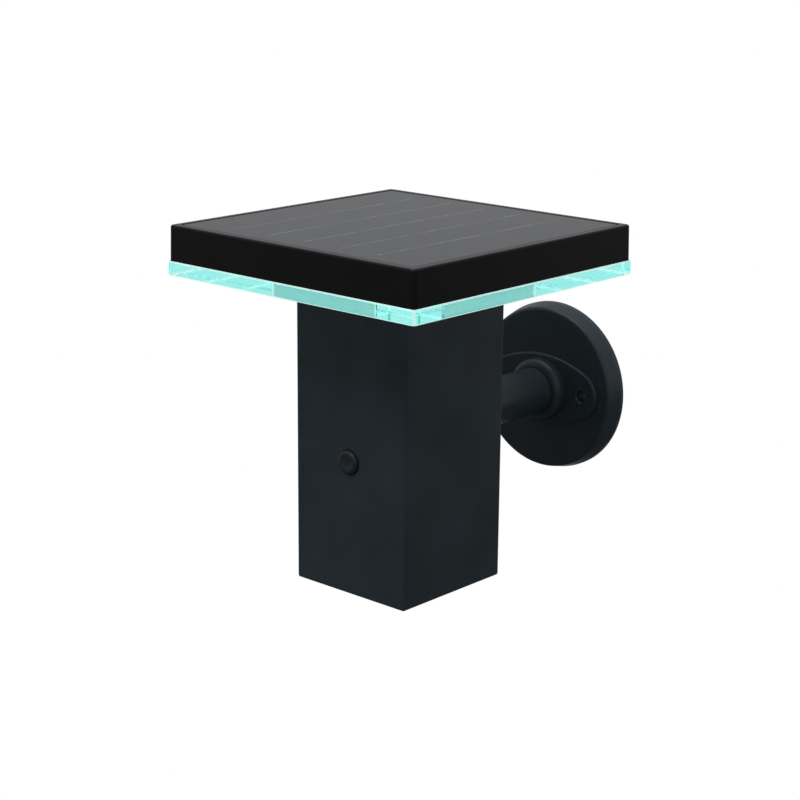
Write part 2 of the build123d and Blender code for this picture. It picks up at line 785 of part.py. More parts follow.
def countersunk_r():
    """Radius of the countersunk head."""
    return m8_head_d / 2


def countersunk_cone(grow=0.0):
    """Right-angled cone of the countersunk head, wide end at the wall."""
    deep = countersunk_r() - m8_d / 2
    cone = Cone(countersunk_r() + grow, m8_d / 2 + grow, deep)
    return Pos(0, -plate_screw_sink - deep / 2, 0) * Rot(90, 0, 0) * cone


def hexagon(y0, y1):
    """Hexagon socket along Y."""
    outline = Plane.XZ.offset(-y0) * RegularPolygon(m8_key / 2, 6, major_radius=False)
    return extrude(outline, y0 - y1)


def plate_screw():
    """Countersunk screw from behind the plate into the stem."""
    head = countersunk_cone()
    shank = level(0, 0, bar_y1 - m8_bite, -plate_screw_sink, m8_d / 2)
    return head + shank - hexagon(-plate_screw_sink - m8_key / 2, -plate_screw_sink)


def bracket_stem():
    """Turned bar, tapped at both ends."""
    bar = level(0, 0, bar_y0, bar_y1, bar_d / 2)
    bar = chamfer(bar.edges().group_by(Axis.Y)[0], bar_edge)
    for y0, y1 in ((bar_y0, bar_y0 + tap_l), (bar_y1 - tap_l, bar_y1)):
        bar -= level(0, 0, y0, y1, m8_d / 2 + thread_fit)
    return bar


def stem_seal():
    """Rubber washer between stem and post."""
    ring = level(0, 0, post_back_y, bar_y0, bar_d / 2 - bar_edge)
    return ring - level(0, 0, post_back_y, bar_y0, m8_d / 2 + free_fit)


def backing_plate():
    """Steel plate that spreads the bolt's load inside the post."""
    half = backing_w / 2
    outline = Plane.XZ.offset(-bore_w / 2) * RectangleRounded(backing_w, backing_w, backing_w / 9)
    plate = extrude(outline, backing_t)
    return plate - level(0, 0, bore_w / 2 - backing_t, bore_w / 2, m8_d / 2 + free_fit)


def washer_y():
    """Inner face of the stem washer, from the post's axis."""
    return bore_w / 2 - backing_t - washer_t


def stem_washer():
    """Washer under the bolt's head."""
    ring = level(0, 0, washer_y(), washer_y() + washer_t, washer_d / 2)
    return ring - level(0, 0, washer_y(), washer_y() + washer_t, m8_d / 2 + free_fit)


def stem_bolt():
    """Button-head bolt from inside the post into the stem."""
    seat = washer_y()
    head = level(0, 0, seat - m8_head_h, seat, m8_head_d / 2)
    head = chamfer(head.edges().group_by(Axis.Y)[0], m8_head_h * 0.5)
    tip = post_w / 2 + stem_seal_t + m8_bite
    shank = level(0, 0, seat, tip, m8_d / 2)
    return head + shank - hexagon(seat - m8_head_h, seat - m8_head_h + m8_key / 2)


# ---------------------------------------------------------------- write the pieces
on_the_post = [
    post_housing, post_gasket, glass_plate, opal_ring, led_carrier, led_strips, led_chips,
    head_frame, panel_bead, solar_panel, glass_pad, head_screws,
    main_board, board_chips, board_sockets, board_screws,
    battery_cradle, battery_cell, cell_contacts, cell_spring, cradle_screws,
    button_cap, button_seal, button_guide, button_spring, push_switch, switch_board, guide_screws,
    battery_leads, switch_leads, led_leads, panel_leads,
    backing_plate, stem_washer, stem_bolt,
]
on_the_wall = [wall_plate, plate_screw, bracket_stem, stem_seal]

os.makedirs("parts", exist_ok=True)
for make in on_the_post:
    export_step(on_post(make()), f"parts/{make.__name__}.step")
for make in on_the_wall:
    export_step(make(), f"parts/{make.__name__}.step")
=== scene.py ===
"""Looks of the fence light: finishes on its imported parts, the glass light plate, the solar panel,
the studio and the camera."""

import bpy
from mathutils import Matrix, Vector


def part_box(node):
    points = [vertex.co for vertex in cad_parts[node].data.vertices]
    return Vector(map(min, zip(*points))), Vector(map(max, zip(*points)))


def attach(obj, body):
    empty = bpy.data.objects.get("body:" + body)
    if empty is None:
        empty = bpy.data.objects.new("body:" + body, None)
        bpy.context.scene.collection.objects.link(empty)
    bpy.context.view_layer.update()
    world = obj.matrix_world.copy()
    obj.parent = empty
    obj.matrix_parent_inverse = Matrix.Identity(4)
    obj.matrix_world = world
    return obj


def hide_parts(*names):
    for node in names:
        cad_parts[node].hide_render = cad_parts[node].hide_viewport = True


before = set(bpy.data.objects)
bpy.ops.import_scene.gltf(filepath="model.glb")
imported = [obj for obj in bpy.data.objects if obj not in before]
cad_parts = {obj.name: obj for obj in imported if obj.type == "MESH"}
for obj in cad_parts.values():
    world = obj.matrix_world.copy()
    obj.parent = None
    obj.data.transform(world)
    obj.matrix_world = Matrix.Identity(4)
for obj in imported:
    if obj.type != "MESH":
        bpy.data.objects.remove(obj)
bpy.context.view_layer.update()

bl_info = {
    "name": "Fence light",
    "version": (1, 0, 0),
    "blender": (4, 5, 0),
    "location": "3D View > Sidebar > Fence light",
    "description": "Dresses the packed fence light and sets up its studio",
    "category": "Object",
}

MM = 0.001
TINY = 1e-6              # metres: ends of an edge that are closer in height are level
WHITE = (1.0, 1.0, 1.0)

# Surface effects
BROAD_WAVES = 0.17       # frequency of the grain's broad waves, as a share of the fine grain's
PIT_SPACING = 0.35       # frequency of the grain's pits, the same way
SIDE_DUST = 0.15         # dust on upright faces, as a share of the dust on top
DUST_SIZE = 1.1 * MM     # distance between specks of dust
GLASS_IOR = 1.52
DEEPEST_TINT = 1.05      # density of the glass's tint, against its largest loss
SHEEN_FALL = 3.0         # how fast the head's sheen fades as a face turns from up
SHEEN = 0.5              # its strength on top

# Solar cells
LINE_COLOUR = (0.36, 0.36, 0.37)
BEAD_FREQUENCY = 520.0              # per metre, along the ragged sides of the lines
BREAK_FREQUENCY = (40.0, 130.0, 1.0)
FAINTEST_LINE = 0.25

# Camera, by a fit to the lamp's straight edges in the photograph
CAMERA_PLACE = Vector((511.953, -672.019, 219.450)) * MM
CAMERA_RIGHT = Vector((0.74079671, 0.67168079, 0.00807148))
CAMERA_UP = Vector((-0.18127913, 0.18833373, 0.96522965))
CAMERA_BACK = Vector((0.64680608, -0.71650215, 0.26127871))
SENSOR_WIDTH = 36.0      # millimetres
NEAREST_VIEW = 0.01      # metres

# Studio, in metres
LAMP_MIDDLE = Vector((0.0, -0.105, 0.02))
TOP_LIGHT_PLACE, TOP_LIGHT_SIZE = Vector((-0.1, -0.1, 0.9)), 0.8
FRONT_LIGHT_PLACE, FRONT_LIGHT_SIZE = Vector((0.05, -0.6, 0.75)), 0.4
FLOOR_SIZE = 12.0
FLOOR_NEAR_TONE, FLOOR_FAR_TONE = (0.13, 0.13, 0.135), (0.85, 0.85, 0.86)
FLOOR_WAY_BACK = (-0.67, 0.74, 0.0)
FLOOR_CHANGE = (0.35, 0.8)          # where the near tone ends and the far tone starts
ROOM_CHANGE = (-0.3, 0.02)          # heights of a direction between the dark and the light part
ROOM_LOW_SHARE = 0.16               # brightness of the dark part, against the light part
ALL_BOUNCES, GLASS_BOUNCES = 32, 24


# ---------------------------------------------------------------- settings
def length(name, text, default, smallest=0.0):
    """A size in metres that the sidebar shows."""
    return bpy.props.FloatProperty(name=name, description=text, default=default, min=smallest,
                                   unit="LENGTH", precision=5)


def colour(name, text, default):
    """A linear colour that the sidebar shows."""
    return bpy.props.FloatVectorProperty(name=name, description=text, default=default, size=3,
                                         min=0.0, max=1.0, subtype="COLOR")


def share(name, text, default, largest=1.0):
    """A plain number that the sidebar shows."""
    return bpy.props.FloatProperty(name=name, description=text, default=default, min=0.0,
                                   max=largest, subtype="FACTOR" if largest == 1.0 else "NONE")


class LightPlateSettings(bpy.types.PropertyGroup):
    """The glass plate under the head."""

    arris: length("Arris", "Width of the ground bevel along the long edges", 0.55 * MM)
    corner: length("Corner", "Width of the ground bevel at the upright corners", 0.9 * MM)
    air_film: length("Air film", "Air left between the glass and what it lies on", 0.03 * MM)
    cutout_corner: length("Cut-out corner", "Radius of the cut-out's corners", 3.0 * MM)
    cutout_play: length("Cut-out play", "Air between the cut-out and its milky lining", 0.3 * MM)
    red_loss: share("Red loss", "Light that the glass takes out of red, per metre", 6.5, 60.0)
    green_loss: share("Green loss", "Light that the glass takes out of green, per metre", 0.5, 60.0)
    blue_loss: share("Blue loss", "Light that the glass takes out of blue, per metre", 0.9, 60.0)


class PanelSettings(bpy.types.PropertyGroup):
    """The solar panel in the head's top."""

    corner: length("Corner", "Radius of the laminate's upright corners", 1.5 * MM)
    edge: length("Edge", "Rounded edge of the laminate", 0.35 * MM)
    strips: bpy.props.IntProperty(name="Strips", description="Cell strips side by side", default=6,
                                  min=1)
    pitch: length("Pitch", "Distance between the lines that part the strips", 19.35 * MM)
    line: length("Line", "Width of the lines that part the strips", 0.4 * MM)
    line_length: length("Line length", "Length of the lines", 108.0 * MM)
    shift: length("Shift", "Cells off the panel's middle, to the left", 1.4 * MM)


class CoatSettings(bpy.types.PropertyGroup):
    """Finishes of the visible metal and plastic."""

    charcoal: colour("Charcoal", "Powder coat of post and bracket", (0.034, 0.050, 0.062))
    shell: colour("Shell", "Moulded head", (0.0045, 0.0047, 0.0047))
    cell: colour("Cells", "Solar cells under their laminate", (0.009, 0.0125, 0.026))
    rubber: colour("Rubber", "Push button", (0.020, 0.029, 0.034))


class StudioSettings(bpy.types.PropertyGroup):
    """Floor, lights and camera."""

    lens: bpy.props.FloatProperty(name="Lens", description="Focal length on a 36 mm sensor, in mm",
                                  default=86.558, min=10.0)
    drop: length("Floor", "Floor below the wall plate's middle", 0.5)
    top_light: share("Top light", "Power of the light overhead, in watts", 2.0, 500.0)
    front_light: share("Front light", "Power of the light in front, in watts", 2.2, 500.0)
    surround: share("Surround", "Brightness of the room that the lamp reflects", 0.5, 10.0)


SETTINGS = {"fl_plate": LightPlateSettings, "fl_panel": PanelSettings, "fl_coat": CoatSettings,
            "fl_studio": StudioSettings}


# ---------------------------------------------------------------- shader building
class Nodes:
    """Small help to build a node tree: add a node, set its sockets, link the rest."""

    MIX_FACTOR, MIX_A, MIX_B, MIX_COLOUR = 0, 6, 7, 2   # a Mix node's sockets for colours

    def __init__(self, tree):
        self.tree = tree

    def fill(self, node, values):
        """Sets a node's inputs: numbers, colours of three numbers, or sockets to link from."""
        for name, value in values.items():
            socket = node.inputs[name]
            if isinstance(value, bpy.types.NodeSocket):
                self.tree.links.new(value, socket)
            elif socket.type == "RGBA":
                socket.default_value = (*value, 1.0)
            else:
                socket.default_value = value

    def add(self, kind, values=None, **settings):
        """One node, with its settings and then its inputs."""
        node = self.tree.nodes.new(kind)
        for name, value in settings.items():
            setattr(node, name, value)
        self.fill(node, values or {})
        return node

    def group(self, name, values):
        """One of the shared effects."""
        return self.add("ShaderNodeGroup", values, node_tree=effect(name))

    def math(self, operation, *values):
        """One number from up to three."""
        return self.add("ShaderNodeMath", dict(enumerate(values)), operation=operation).outputs[0]

    def mix(self, factor, a, b):
        """Colour between a and b."""
        values = {self.MIX_FACTOR: factor, self.MIX_A: a, self.MIX_B: b}
        node = self.add("ShaderNodeMix", values, data_type="RGBA")
        return node.outputs[self.MIX_COLOUR]

    def ramp(self, value, start, end, low, high, shape="LINEAR"):
        """A number that goes from low to high as the value goes from start to end."""
        return self.add("ShaderNodeMapRange", {
            "Value": value, "From Min": start, "From Max": end, "To Min": low, "To Max": high},
            interpolation_type=shape).outputs["Result"]

    def relief(self, height, depth):
        """The normal of a surface with this relief, its depth in metres."""
        return self.add("ShaderNodeBump", {"Height": height, "Distance": depth}).outputs["Normal"]

    def object_coordinates(self):
        """Places on the piece, in metres."""
        return self.add("ShaderNodeTexCoord").outputs["Object"]

    def looks_up(self):
        """How much a face looks up: 1 on top, 0 on sides and below."""
        normal = self.add("ShaderNodeNewGeometry").outputs["Normal"]
        up = self.add("ShaderNodeSeparateXYZ", {"Vector": normal}).outputs["Z"]
        return self.math("MAXIMUM", up, 0.0)


def effect(name):
    """A shared effect, built the first time that it is asked for."""
    tree = bpy.data.node_groups.get(name)
    if tree is None:
        tree = bpy.data.node_groups.new(name, "ShaderNodeTree")
        EFFECTS[name](tree)
    return tree


def sockets(tree, inputs, outputs):
    """Names a group's sockets and returns the help for its tree and its two end nodes."""
    for in_out, rows in (("INPUT", inputs), ("OUTPUT", outputs)):
        for label, kind, default in rows:
            socket = tree.interface.new_socket(name=label, in_out=in_out, socket_type=kind)
            if default is not None:
                socket.default_value = default
    nodes = Nodes(tree)
    return nodes, nodes.add("NodeGroupInput"), nodes.add("NodeGroupOutput")


def build_grain(tree):
    """Fine sprayed or moulded grain: a height, and a mask of its small pits."""
    nodes, start, end = sockets(tree, [
        ("Size", "NodeSocketFloat", 0.4 * MM), ("Waviness", "NodeSocketFloat", 0.5)], [
        ("Height", "NodeSocketFloat", None), ("Pits", "NodeSocketFloat", None)])
    place = nodes.object_coordinates()
    scale = nodes.math("DIVIDE", 1.0, start.outputs["Size"])
    fine = nodes.add("ShaderNodeTexNoise", {"Vector": place, "Scale": scale, "Detail": 3.0,
                                            "Roughness": 0.6})
    broad = nodes.add("ShaderNodeTexNoise", {
        "Vector": place, "Scale": nodes.math("MULTIPLY", scale, BROAD_WAVES), "Detail": 1.0})
    wave = nodes.math("MULTIPLY", broad.outputs["Fac"], start.outputs["Waviness"])
    pits = nodes.add("ShaderNodeTexVoronoi", {
        "Vector": place, "Scale": nodes.math("MULTIPLY", scale, PIT_SPACING)}, feature="F1")
    nodes.fill(end, {"Height": nodes.math("ADD", fine.outputs["Fac"], wave),
                     "Pits": nodes.ramp(pits.outputs["Distance"], 0.05, 0.14, 1.0, 0.0)})


def build_drift(tree):
    """Slow drift of colour and sheen over a surface, as handling and spraying leave it."""
    nodes, start, end = sockets(tree, [
        ("Colour", "NodeSocketColor", (0.5, 0.5, 0.5, 1.0)), ("Amount", "NodeSocketFloat", 0.1),
        ("Size", "NodeSocketFloat", 20 * MM)], [
        ("Colour", "NodeSocketColor", None), ("Drift", "NodeSocketFloat", None)])
    scale = nodes.math("DIVIDE", 1.0, start.outputs["Size"])
    cloud = nodes.add("ShaderNodeTexNoise", {"Vector": nodes.object_coordinates(), "Scale": scale,
                                             "Detail": 4.0, "Roughness": 0.55})
    drift = nodes.ramp(cloud.outputs["Fac"], 0.3, 0.7, -1.0, 1.0)
    gain = nodes.math("MULTIPLY_ADD", drift, start.outputs["Amount"], 1.0)
    tinted = nodes.add("ShaderNodeVectorMath", {0: start.outputs["Colour"], "Scale": gain},
                       operation="SCALE")
    nodes.fill(end, {"Colour": tinted.outputs[0], "Drift": drift})


def build_dust(tree):
    """Thin dust: a mask of sparse specks, thicker on faces that look up."""
    nodes, start, end = sockets(tree, [
        ("Size", "NodeSocketFloat", 1.2 * MM), ("Cover", "NodeSocketFloat", 0.3)], [
        ("Mask", "NodeSocketFloat", None)])
    scale = nodes.math("DIVIDE", 1.0, start.outputs["Size"])
    specks = nodes.add("ShaderNodeTexVoronoi", {
        "Vector": nodes.object_coordinates(), "Scale": scale, "Randomness": 1.0}, feature="F1")
    dot = nodes.ramp(specks.outputs["Distance"], 0.04, 0.12, 1.0, 0.0)
    pick = nodes.add("ShaderNodeSeparateColor", {"Color": specks.outputs["Color"]})
    kept = nodes.math("LESS_THAN", pick.outputs["Red"], start.outputs["Cover"])
    facing = nodes.math("MULTIPLY_ADD", nodes.looks_up(), 1.0 - SIDE_DUST, SIDE_DUST)
    nodes.fill(end, {"Mask": nodes.math("MULTIPLY", nodes.math("MULTIPLY", dot, kept), facing)})


EFFECTS = {"Surface grain": build_grain, "Colour drift": build_drift, "Fine dust": build_dust}


def new_material(name):
    """A material with only a Principled shader, and the help for its tree."""
    material = bpy.data.materials.new(name)
    material.use_nodes = True
    material.node_tree.nodes.clear()
    nodes = Nodes(material.node_tree)
    shader = nodes.add("ShaderNodeBsdfPrincipled")
    nodes.add("ShaderNodeOutputMaterial", {"Surface": shader.outputs["BSDF"]})
    return material, nodes, shader


def grained(name, base, roughness, grain, bump, drift=0.08, drift_size=25 * MM, spread=0.06,
            dust=None, fixed=None):
    """A coated, moulded or plated surface: drifting colour, varied sheen, grain and some dust.

    Dust is its cover and its colour, and fixed holds the shader's own values."""
    material, nodes, shader = new_material(name)
    body = nodes.group("Colour drift", {"Colour": base, "Amount": drift, "Size": drift_size})
    skin = nodes.group("Surface grain", {"Size": grain})
    tint = body.outputs["Colour"]
    if dust:
        cover, dust_colour = dust
        speck = nodes.group("Fine dust", {"Size": DUST_SIZE, "Cover": cover})
        tint = nodes.mix(speck.outputs["Mask"], tint, dust_colour)
    rough = nodes.math("MULTIPLY_ADD", body.outputs["Drift"], spread, roughness)
    rough = nodes.math("MULTIPLY_ADD", skin.outputs["Pits"], spread, rough)
    nodes.fill(shader, {"Base Color": tint, "Roughness": rough,
                        "Normal": nodes.relief(skin.outputs["Height"], bump), **(fixed or {})})
    return material


# ---------------------------------------------------------------- finishes
def charcoal_coat(coat):
    """Fine-texture powder coat on post and bracket."""
    return grained("charcoal_coat", coat.charcoal, 0.34, 0.8 * MM, 0.03 * MM, drift=0.12,
                   drift_size=30 * MM, dust=(0.05, (0.07, 0.08, 0.09)),
                   fixed={"Specular IOR Level": 0.42})


def black_shell(coat):
    """Moulded head: matt, with the sheen of handling on faces that look up."""
    material = grained("black_shell", coat.shell, 0.42, 0.3 * MM, 0.004 * MM, drift=0.06,
                       dust=(0.03, (0.03, 0.03, 0.03)),
                       fixed={"Specular IOR Level": 0.2, "Coat Roughness": 0.2})
    nodes = Nodes(material.node_tree)
    rubbed = nodes.math("MULTIPLY", nodes.math("POWER", nodes.looks_up(), SHEEN_FALL), SHEEN)
    nodes.fill(material.node_tree.nodes["Principled BSDF"], {"Coat Weight": rubbed})
    return material


def rubber(name, base, roughness=0.6):
    """Soft rubber or silicone."""
    return grained(name, base, roughness, 0.25 * MM, 0.006 * MM, drift=0.12, drift_size=6 * MM,
                   dust=(0.08, (0.06, 0.06, 0.06)), fixed={"Specular IOR Level": 0.4})


def moulding(name, base, roughness=0.42):
    """Plain moulded plastic."""
    return grained(name, base, roughness, 0.5 * MM, 0.006 * MM, drift=0.05,
                   fixed={"Specular IOR Level": 0.5})


def plated(name, base, roughness=0.28):
    """Plated metal with fine turning marks."""
    return grained(name, base, roughness, 0.2 * MM, 0.004 * MM, drift=0.1, drift_size=5 * MM,
                   spread=0.09, fixed={"Metallic": 1.0})


def white_foam():
    """Closed-cell foam."""
    return grained("white_foam", (0.86, 0.87, 0.86), 0.85, 0.7 * MM, 0.05 * MM, drift=0.04,
                   drift_size=10 * MM, fixed={"Specular IOR Level": 0.3})


def opal():
    """Milky plastic that spreads light, with a faint painted glow: it emits light with no lamp
    behind it.
    """
    return grained("opal", (0.82, 0.98, 0.96), 0.4, 0.6 * MM, 0.01 * MM, drift=0.05,
                   drift_size=8 * MM,
                   # painted glow: the ring's emission makes it shine without any lamp
                   fixed={"Emission Color": (0.28, 1.0, 0.93), "Emission Strength": 0.36})


def board_green():
    """Printed circuit board under solder resist, with its tracks showing through."""
    material, nodes, shader = new_material("board_green")
    tracks = nodes.add("ShaderNodeTexBrick", {
        "Vector": nodes.object_coordinates(), "Scale": 420.0, "Mortar Size": 0.05,
        "Color1": (0.012, 0.14, 0.05), "Color2": (0.016, 0.17, 0.065),
        "Mortar": (0.03, 0.26, 0.11)})
    nodes.fill(shader, {"Base Color": tracks.outputs["Color"], "Roughness": 0.3,
                        "Coat Weight": 0.4, "Coat Roughness": 0.15,
                        "Normal": nodes.relief(tracks.outputs["Fac"], 0.02 * MM)})
    return material


def lamp_yellow():
    """Phosphor window in a white lamp case."""
    material, nodes, shader = new_material("lamp_yellow")
    grain = nodes.group("Surface grain", {"Size": 0.15 * MM})
    tint = nodes.mix(grain.outputs["Pits"], (0.88, 0.72, 0.16), (0.95, 0.9, 0.6))
    nodes.fill(shader, {"Base Color": tint, "Roughness": 0.35, "Coat Weight": 0.6})
    return material


def tint_depth(nodes, plate):
    """Takes red out of the light on its way through the glass."""
    losses = (plate.red_loss, plate.green_loss, plate.blue_loss)
    density = max(losses) * DEEPEST_TINT
    depth = nodes.add("ShaderNodeVolumeAbsorption", {
        "Color": tuple(1.0 - loss / density for loss in losses), "Density": density})
    end = next(node for node in nodes.tree.nodes if node.type == "OUTPUT_MATERIAL")
    nodes.fill(end, {"Volume": depth.outputs["Volume"]})


def glass_body(plate):
    """Clear float glass, with the faint waves of its making."""
    material, nodes, shader = new_material("clear_glass")
    tint_depth(nodes, plate)
    grain = nodes.group("Surface grain", {"Size": 9 * MM, "Waviness": 1.0})
    nodes.fill(shader, {"Base Color": WHITE, "Roughness": 0.0, "IOR": GLASS_IOR, "Metallic": 0.0,
                        "Transmission Weight": 1.0,
                        "Normal": nodes.relief(grain.outputs["Height"], 0.003 * MM)})
    return material


def ground_edge(plate):
    """The plate's ground arrises: frosted, with a painted glow from emission that stands in for the
    light gathering in them.
    """
    material, nodes, shader = new_material("ground_edge")
    tint_depth(nodes, plate)
    grain = nodes.group("Surface grain", {"Size": 0.35 * MM, "Waviness": 0.8})
    rough = nodes.math("MULTIPLY_ADD", grain.outputs["Pits"], 0.2, 0.32)
    nodes.fill(shader, {"Base Color": (0.95, 1.0, 1.0), "Roughness": rough, "IOR": GLASS_IOR,
                        "Metallic": 0.0, "Transmission Weight": 0.85,
                        # painted glow: emission makes the arrises bright under any lamp
                        "Emission Color": (0.9, 1.0, 1.0), "Emission Strength": 0.42,
                        "Normal": nodes.relief(grain.outputs["Height"], 0.02 * MM)})
    return material


def strip_lines(nodes, place, panel):
    """Mask of the fine broken lines that part the cell strips."""
    axes = nodes.add("ShaderNodeSeparateXYZ", {"Vector": place})
    across, along = axes.outputs["X"], axes.outputs["Y"]
    wrapped = nodes.math("FLOORED_MODULO", nodes.math("ADD", across, panel.pitch / 2), panel.pitch)
    distance = nodes.math("ABSOLUTE", nodes.math("SUBTRACT", wrapped, panel.pitch / 2))
    beads = nodes.add("ShaderNodeTexNoise", {"Vector": place, "Scale": BEAD_FREQUENCY,
                                             "Detail": 2.0})
    half = nodes.math("MULTIPLY", beads.outputs["Fac"], panel.line)
    line = nodes.math("LESS_THAN", distance, half)
    inside_x = nodes.math("LESS_THAN", nodes.math("ABSOLUTE", across),
                          panel.pitch * (panel.strips / 2 - 0.5))
    inside_y = nodes.math("LESS_THAN", nodes.math("ABSOLUTE", along), panel.line_length / 2)
    line = nodes.math("MULTIPLY", nodes.math("MULTIPLY", line, inside_x), inside_y)
    stretched = nodes.add("ShaderNodeMapping", {"Vector": place, "Scale": BREAK_FREQUENCY})
    breaks = nodes.add("ShaderNodeTexNoise", {"Vector": stretched.outputs["Vector"], "Scale": 1.0,
                                              "Detail": 3.0})
    strength = nodes.ramp(breaks.outputs["Fac"], 0.38, 0.66, FAINTEST_LINE, 1.0)
    return nodes.math("MULTIPLY", line, strength)


def cell_sheet(coat, panel, middle_y):
    """Laminated cells: dark silicon, fine broken silver lines between the strips, clear cover."""
    material, nodes, shader = new_material("cell_sheet")
    place = nodes.add("ShaderNodeMapping", {
        "Vector": nodes.object_coordinates(),
        "Location": (panel.shift, -middle_y, 0.0)}).outputs["Vector"]
    line = strip_lines(nodes, place, panel)
    body = nodes.group("Colour drift", {"Colour": coat.cell, "Amount": 0.04, "Size": 35 * MM})
    grain = nodes.group("Surface grain", {"Size": 1.2 * MM, "Waviness": 0.4})
    nodes.fill(shader, {
        "Base Color": nodes.mix(line, body.outputs["Colour"], LINE_COLOUR),
        "Roughness": nodes.math("MULTIPLY_ADD", body.outputs["Drift"], 0.01, 0.2),
        "Normal": nodes.relief(grain.outputs["Height"], 0.03 * MM), "Specular IOR Level": 0.5})
    return material


def packed_finishes(coat):
    """The finishes of the nodes that stay as packed, each with its nodes."""
    return (
        (charcoal_coat(coat), ("post_housing", "wall_plate", "bracket_stem")),
        (black_shell(coat), ("head_frame",)),
        (plated("zinc_steel", (0.6, 0.61, 0.62)),
         ("head_screws", "board_screws", "cradle_screws", "guide_screws", "backing_plate",
          "stem_washer", "stem_bolt", "plate_screw")),
        (plated("nickel", (0.74, 0.73, 0.69), 0.2), ("cell_contacts", "cell_spring")),
        (rubber("soft_black", (0.012, 0.013, 0.014)), ("post_gasket", "stem_seal", "button_seal")),
        (rubber("clear_silicone", (0.42, 0.43, 0.43), 0.35), ("panel_bead", "button_spring")),
        (rubber("black_rubber", coat.rubber, 0.4), ("button_cap",)),
        (rubber("lead_sleeve", (0.32, 0.02, 0.02), 0.45),
         ("battery_leads", "switch_leads", "led_leads", "panel_leads")),
        (moulding("white_moulding", (0.84, 0.84, 0.82)), ("led_carrier",)),
        (moulding("black_moulding", (0.02, 0.02, 0.021)),
         ("battery_cradle", "button_guide", "push_switch")),
        (moulding("strip_white", (0.82, 0.83, 0.81), 0.3), ("led_strips",)),
        (moulding("chip_black", (0.015, 0.015, 0.016), 0.5), ("board_chips",)),
        (moulding("socket_cream", (0.78, 0.73, 0.6)), ("board_sockets",)),
        (moulding("cell_wrap", (0.02, 0.12, 0.4), 0.25), ("battery_cell",)),
        (opal(), ("opal_ring",)),
        (white_foam(), ("glass_pad",)),
        (lamp_yellow(), ("led_chips",)),
        (board_green(), ("main_board", "switch_board")),
    )


# ---------------------------------------------------------------- mesh help
def make_active(piece):
    """Selects one piece alone."""
    bpy.ops.object.select_all(action="DESELECT")
    piece.select_set(True)
    bpy.context.view_layer.objects.active = piece


def block(name, low, high, *materials):
    """A box between two corners, to be shaped further."""
    bpy.ops.object.select_all(action="DESELECT")
    bpy.ops.mesh.primitive_cube_add(size=1.0, location=(low + high) / 2, scale=high - low)
    piece = bpy.context.object
    piece.name = piece.data.name = name
    bpy.ops.object.transform_apply(location=True, rotation=True, scale=True)
    for material in materials:
        piece.data.materials.append(material)
    return piece


def upright_edge(a, b):
    """Is the edge between these ends parallel to Z?"""
    return (a - b).xy.length < TINY < abs(a.z - b.z)


def level_edge(a, b):
    """Are both ends at one height?"""
    return abs(a.z - b.z) < TINY


def bevel_edges(piece, test, **bevel):
    """Bevels the edges whose two ends pass the test."""
    make_active(piece)
    bpy.ops.object.mode_set(mode="EDIT")
    bpy.ops.mesh.select_mode(type="EDGE")
    bpy.ops.mesh.select_all(action="DESELECT")
    bpy.ops.object.mode_set(mode="OBJECT")
    mesh = piece.data
    for edge in mesh.edges:
        edge.select = test(*(mesh.vertices[i].co for i in edge.vertices))
    if not any(edge.select for edge in mesh.edges):
        raise RuntimeError(f"{piece.name}: no edge to bevel")
    bpy.ops.object.mode_set(mode="EDIT")
    bpy.ops.mesh.bevel(**bevel)
    bpy.ops.object.mode_set(mode="OBJECT")


def cut_across(piece, places):
    """Cuts the faces of a piece along upright planes at these values of X."""
    make_active(piece)
    bpy.ops.object.mode_set(mode="EDIT")
    bpy.ops.mesh.select_mode(type="FACE")
    for x in places:
        bpy.ops.mesh.select_all(action="SELECT")
        bpy.ops.mesh.bisect(plane_co=(x, 0.0, 0.0), plane_no=(1.0, 0.0, 0.0))
    bpy.ops.object.mode_set(mode="OBJECT")


def carve(piece, cutter):
    """Takes the cutter out of the piece and deletes it."""
    make_active(piece)
    cut = piece.modifiers.new("cut", "BOOLEAN")
    cut.operation, cut.object, cut.solver = "DIFFERENCE", cutter, "EXACT"
    bpy.ops.object.modifier_apply(modifier=cut.name)
    bpy.data.objects.remove(cutter)


# ---------------------------------------------------------------- pieces
def make_light_plate(plate):
    """The glass: a square sheet with ground arrises and a rounded square cut-out."""
    low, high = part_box("glass_plate")
    ring_low, ring_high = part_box("opal_ring")
    middle = (low + high) / 2
    film = Vector((0.0, 0.0, plate.air_film))
    piece = block("light_plate", low + film, high - film, glass_body(plate), ground_edge(plate))
    bevel_edges(piece, upright_edge, offset=plate.corner, segments=1, material=1)
    bevel_edges(piece, level_edge, offset=plate.arris, segments=1, material=1)

    half = (ring_high.x - ring_low.x) / 2 + plate.cutout_play
    reach = Vector((half, half, high.z - low.z))
    cutter = block("cutter", middle - reach, middle + reach)
    bevel_edges(cutter, upright_edge, offset=plate.cutout_corner, segments=6, profile=0.5)
    carve(piece, cutter)
    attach(piece, "lamp")
    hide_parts("glass_plate")


def make_panel(coat, panel):
    """The laminated panel: rounded corners, a soft top edge, a face for each strip and line."""
    low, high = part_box("solar_panel")
    middle = (low + high) / 2
    piece = block("panel_laminate", low, high, cell_sheet(coat, panel, middle.y))
    bevel_edges(piece, upright_edge, offset=panel.corner, segments=5, profile=0.5)
    bevel_edges(piece, lambda a, b: min(a.z, b.z) > high.z - TINY, offset=panel.edge, segments=3,
                profile=0.5)
    lines = [middle.x - panel.shift + (k - panel.strips / 2 + 1) * panel.pitch
             for k in range(panel.strips - 1)]
    cut_across(piece, [line + side * panel.line for line in lines for side in (-1, 1)])
    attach(piece, "lamp")
    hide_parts("solar_panel")


# ---------------------------------------------------------------- studio
def white_if_seen(nodes, shader, white):
    """The white where the camera or the glass sees it, and the shader in reflections."""
    path = nodes.add("ShaderNodeLightPath")
    seen = nodes.math("MAXIMUM", path.outputs["Is Camera Ray"], path.outputs["Is Transmission Ray"])
    return nodes.add("ShaderNodeMixShader", {
        0: seen, 1: shader.outputs[0], 2: white.outputs[0]}).outputs[0]


